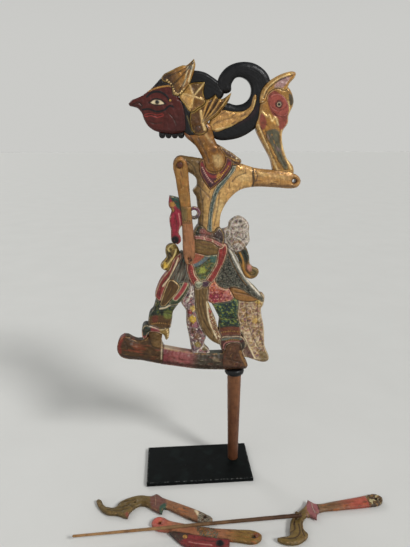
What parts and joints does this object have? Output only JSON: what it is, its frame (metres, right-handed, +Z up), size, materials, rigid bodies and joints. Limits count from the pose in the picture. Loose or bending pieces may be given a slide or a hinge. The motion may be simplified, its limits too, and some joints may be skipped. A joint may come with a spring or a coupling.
{
  "type": "shadow puppet",
  "caption": "Flat carved and painted wooden theatre puppet on a plate stand, with one hung arm that swings and its other arm pieces and control rod laid out loose in front.",
  "frame": {"origin": "on the handle's axis, at the underside of the stand plate", "axes": "+X towards the puppet's back, +Y away from the viewer of its front face, +Z up"},
  "size_m": [0.3624, 0.1815, 0.505],
  "materials": {
    "black_plate": "satin black, worn",
    "pin_steel": "plain steel",
    "handle_wood": "stained and waxed",
    "collar_black": "black lacquer",
    "foot_brown": "brown paint, rubbed",
    "bar_red": "crimson to olive paint, rubbed",
    "gold": "bronze-gold paint with brown grime",
    "black_hair": "black paint",
    "face_red": "dark red paint",
    "red_sash": "brick-red paint with pale edges",
    "green_cloth": "dark green paint with gold flecks",
    "brown_cloth": "ochre-brown paint",
    "grey_cloth": "grey paint flecked with silver",
    "brocade": "cream, pink and gold painted flowers",
    "ornament": "gold, pink and dark paint",
    "arm_paint": "ochre and salmon paint, worn",
    "armlet": "crimson, green and purple paint",
    "peg_wood": "bare dark wood",
    "rod_wood": "bare wood",
    "thread": "cotton thread"
  },
  "bodies": {
    "stand": {"stand_plate": "black_plate", "stand_pin": "pin_steel"},
    "figure": {"handle": "handle_wood", "handle_collar": "collar_black", "rear_foot": "foot_brown", "front_foot": "foot_brown", "base_bar": "bar_red", "torso": "gold", "far_shoulder_stub": "gold", "neck": "gold", "diadem": "gold", "ear_star": "gold", "ear_leaves": "gold", "crescent": "gold", "bird_head": "gold", "bird_ear": "gold", "hip_scroll": "gold", "belly": "gold", "hair_cap": "black_hair", "hair_curl": "black_hair", "side_lock": "black_hair", "beard": "black_hair", "face": "face_red", "sash_right": "red_sash", "sash_left": "red_sash", "front_flap": "red_sash", "knee_sash": "red_sash", "bird_cheek": "red_sash", "front_shin": "green_cloth", "front_thigh": "green_cloth", "rear_leg": "green_cloth", "apron": "green_cloth", "front_knee": "brown_cloth", "skirt_lining": "brown_cloth", "tail": "brown_cloth", "skirt_panel": "grey_cloth", "cloth_fan": "grey_cloth", "fan_tail": "grey_cloth", "chest_sash": "grey_cloth", "bird_beak": "grey_cloth", "sash_knot": "grey_cloth", "trailing_cloth": "brocade", "middle_strip": "brocade", "thigh_brocade": "brocade", "belt": "ornament", "necklace": "ornament", "shoulder_drape": "ornament", "front_anklet": "ornament", "rear_anklet": "ornament", "shoulder_peg": "peg_wood"},
    "near_arm": {"near_upper_arm": "arm_paint", "near_armlet_wing": "armlet", "near_armlet_ring": "armlet"},
    "near_forearm": {"near_forearm": "arm_paint"},
    "far_upper_arm": {"far_upper_arm": "arm_paint", "far_armlet_wing": "armlet"},
    "far_forearm": {"far_forearm": "arm_paint", "far_hand": "arm_paint"},
    "rod": {"control_rod": "rod_wood", "rod_thread": "thread"}
  },
  "joints": [
    {"name": "figure_turn", "type": "hinge", "parent": "stand", "child": "figure", "pos_m": [0, 0, 0.005], "axis": [0, 0, 1], "continuous": true},
    {"name": "near_arm_swing", "type": "hinge", "parent": "figure", "child": "near_arm", "pos_m": [-0.067, -0.0137, 0.3955], "axis": [0, 1, 0], "continuous": true},
    {"name": "near_forearm_lift", "type": "slide", "parent": "stand", "child": "near_forearm", "axis": [0, 0, 1], "range_m": [0, 0.06]},
    {"name": "far_upper_arm_draw", "type": "slide", "parent": "stand", "child": "far_upper_arm", "axis": [0, -1, 0], "range_m": [0, 0.08]},
    {"name": "far_forearm_lift", "type": "slide", "parent": "stand", "child": "far_forearm", "axis": [0, 0, 1], "range_m": [0, 0.06]},
    {"name": "rod_swing", "type": "hinge", "parent": "far_forearm", "child": "rod", "pos_m": [0.058, -0.114, 0.0088], "axis": [0, 0, 1], "range_deg": [-50, 90]}
  ]
}
